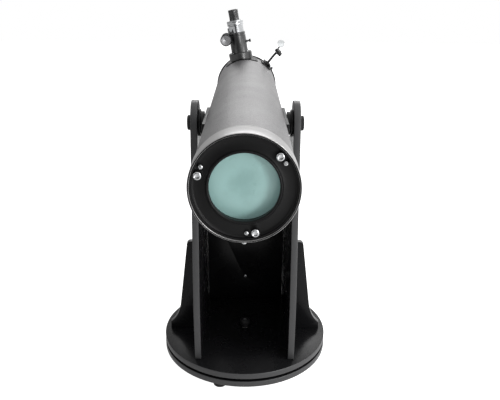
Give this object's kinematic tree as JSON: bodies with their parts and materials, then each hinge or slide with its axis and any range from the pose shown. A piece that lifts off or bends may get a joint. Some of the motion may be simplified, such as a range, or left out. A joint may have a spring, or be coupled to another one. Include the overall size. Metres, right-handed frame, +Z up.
{
  "type": "dobsonian telescope",
  "caption": "Newtonian reflector tube on a turning rocker box, with an open mirror cell, rack focuser and reflex finder.",
  "frame": {"origin": "on the floor, below the azimuth axis, at the middle of the object's footprint", "axes": "+Z up; +Y along the level tube from the mirror end to the open end; +X to the right seen from the mirror end"},
  "size_m": [0.445, 1.052, 0.8801],
  "materials": {
    "laminate": "black melamine laminate on board, satin, with rounded edge banding",
    "hammertone": "grey hammertone enamel on rolled steel",
    "silver_ring": "satin silver",
    "black_paint": "black enamel, semi-matt",
    "black_plastic": "black moulded plastic",
    "chrome": "polished chrome plate",
    "steel": "zinc-plated steel",
    "rubber": "black rubber",
    "nylon": "natural nylon",
    "mirror_blank": "ground glass blank, pale blue-green at its back",
    "mirror_coating": "front-surface aluminised mirror",
    "window_glass": "clear coated window"
  },
  "bodies": {
    "base": {"ground_board": "laminate", "foot_1": "rubber", "foot_2": "rubber", "foot_3": "rubber", "glide_pad_1": "nylon", "glide_pad_2": "nylon", "glide_pad_3": "nylon", "azimuth_bolt": "steel"},
    "rocker": {"rocker_board": "laminate", "left_side_panel": "laminate", "right_side_panel": "laminate", "front_board": "laminate", "left_wing": "laminate", "right_wing": "laminate", "front_board_screw": "chrome", "azimuth_bushing": "nylon", "left_panel_bush": "nylon", "right_panel_bush": "nylon"},
    "azimuth_nut": {"azimuth_nut": "black_plastic"},
    "tube": {"main_tube": "hammertone", "rear_ring": "silver_ring", "front_ring": "black_paint", "cell_plate": "black_paint", "mirror_carrier": "black_paint", "primary_mirror": "mirror_blank", "collimation_spring_1": "steel", "collimation_spring_2": "steel", "collimation_spring_3": "steel", "ring_screw": "chrome", "spider": "black_paint", "secondary_holder": "black_paint", "secondary_mirror": "mirror_coating", "left_altitude_rail": "black_paint", "right_altitude_rail": "black_paint", "left_altitude_hub": "black_plastic", "right_altitude_hub": "black_plastic", "focuser_saddle": "black_paint", "focuser_body": "black_paint", "finder_shoe": "black_paint"},
    "left_altitude_knob": {"left_altitude_knob": "black_plastic"},
    "right_altitude_knob": {"right_altitude_knob": "black_plastic"},
    "focus_shaft": {"focus_shaft": "steel", "focus_knob_rear": "black_plastic", "focus_knob_front": "black_plastic"},
    "drawtube": {"drawtube": "chrome"},
    "eyepiece": {"eyepiece": "black_plastic"},
    "eyepiece_set_screw": {"eyepiece_set_screw": "steel"},
    "focus_lock_screw": {"focus_lock_screw": "black_plastic"},
    "focus_tension_screw": {"focus_tension_screw": "black_plastic"},
    "finder": {"finder_body": "black_plastic", "finder_window": "window_glass"},
    "finder_knob": {"finder_knob": "black_plastic"},
    "finder_clamp_screw": {"finder_clamp_screw": "chrome"},
    "collimation_knob_1": {"collimation_knob_1": "chrome"},
    "collimation_lock_screw_1": {"collimation_lock_screw_1": "chrome"},
    "collimation_knob_2": {"collimation_knob_2": "chrome"},
    "collimation_lock_screw_2": {"collimation_lock_screw_2": "chrome"},
    "collimation_knob_3": {"collimation_knob_3": "chrome"},
    "collimation_lock_screw_3": {"collimation_lock_screw_3": "chrome"}
  },
  "joints": [
    {"name": "azimuth_turn", "type": "hinge", "parent": "base", "child": "rocker", "pos_m": [0, 0, 0.0375], "axis": [0, 0, 1], "continuous": true},
    {"name": "azimuth_nut_turn", "type": "hinge", "parent": "base", "child": "azimuth_nut", "pos_m": [0, 0, 0.06], "axis": [0, 0, 1], "range_deg": [-360, 360]},
    {"name": "altitude_tilt", "type": "hinge", "parent": "rocker", "child": "tube", "pos_m": [0, -0.035, 0.64602], "axis": [1, 0, 0], "range_deg": [-5, 90]},
    {"name": "left_altitude_knob_turn", "type": "hinge", "parent": "tube", "child": "left_altitude_knob", "pos_m": [-0.135, -0.035, 0.64602], "axis": [-1, 0, 0], "range_deg": [-360, 360]},
    {"name": "right_altitude_knob_turn", "type": "hinge", "parent": "tube", "child": "right_altitude_knob", "pos_m": [0.135, -0.035, 0.64602], "axis": [1, 0, 0], "range_deg": [-360, 360]},
    {"name": "focus_turn", "type": "hinge", "parent": "tube", "child": "focus_shaft", "pos_m": [-0.06235, 0.462, 0.79186], "axis": [0, 1, 0], "range_deg": [-220, 95]},
    {"name": "drawtube_slide", "type": "slide", "parent": "tube", "child": "drawtube", "axis": [-0.1805, 0, 0.9836], "range_m": [-0.014, 0.033]},
    {"name": "eyepiece_slide", "type": "slide", "parent": "drawtube", "child": "eyepiece", "axis": [-0.1805, 0, 0.9836], "range_m": [0, 0.024]},
    {"name": "eyepiece_set_screw_turn", "type": "hinge", "parent": "drawtube", "child": "eyepiece_set_screw", "pos_m": [-0.03556, 0.436, 0.83979], "axis": [0, -1, 0], "range_deg": [-360, 360]},
    {"name": "focus_lock_screw_turn", "type": "hinge", "parent": "tube", "child": "focus_lock_screw", "pos_m": [0.00423, 0.462, 0.78914], "axis": [0.9836, 0, 0.1805], "range_deg": [-360, 360]},
    {"name": "focus_tension_screw_turn", "type": "hinge", "parent": "tube", "child": "focus_tension_screw", "pos_m": [-0.06475, 0.462, 0.80495], "axis": [-0.1805, 0, 0.9836], "range_deg": [-360, 360]},
    {"name": "finder_slide", "type": "slide", "parent": "tube", "child": "finder", "axis": [0, 1, 0], "range_m": [-0.02, 0.012]},
    {"name": "finder_knob_turn", "type": "hinge", "parent": "finder", "child": "finder_knob", "pos_m": [0.09086, 0.4485, 0.76364], "axis": [-0.766, 0, 0.6428], "range_deg": [0, 270]},
    {"name": "finder_clamp_screw_turn", "type": "hinge", "parent": "tube", "child": "finder_clamp_screw", "pos_m": [0.07238, 0.464, 0.71361], "axis": [0.766, 0, -0.6428], "range_deg": [-360, 360]},
    {"name": "collimation_knob_1_turn", "type": "hinge", "parent": "tube", "child": "collimation_knob_1", "pos_m": [0.05721, -0.516, 0.7005], "axis": [0, -1, 0], "range_deg": [-360, 360]},
    {"name": "collimation_lock_screw_1_turn", "type": "hinge", "parent": "tube", "child": "collimation_lock_screw_1", "pos_m": [0.06641, -0.516, 0.68882], "axis": [0, -1, 0], "range_deg": [-360, 360]},
    {"name": "collimation_knob_2_turn", "type": "hinge", "parent": "tube", "child": "collimation_knob_2", "pos_m": [-0.07579, -0.516, 0.66833], "axis": [0, -1, 0], "range_deg": [-360, 360]},
    {"name": "collimation_lock_screw_2_turn", "type": "hinge", "parent": "tube", "child": "collimation_lock_screw_2", "pos_m": [-0.07026, -0.516, 0.68213], "axis": [0, -1, 0], "range_deg": [-360, 360]},
    {"name": "collimation_knob_3_turn", "type": "hinge", "parent": "tube", "child": "collimation_knob_3", "pos_m": [0.01858, -0.516, 0.56924], "axis": [0, -1, 0], "range_deg": [-360, 360]},
    {"name": "collimation_lock_screw_3_turn", "type": "hinge", "parent": "tube", "child": "collimation_lock_screw_3", "pos_m": [0.00386, -0.516, 0.56712], "axis": [0, -1, 0], "range_deg": [-360, 360]}
  ],
  "couplings": [
    {"joint": "focus_turn", "follows": "drawtube_slide", "rad_per_m": -114.94}
  ]
}
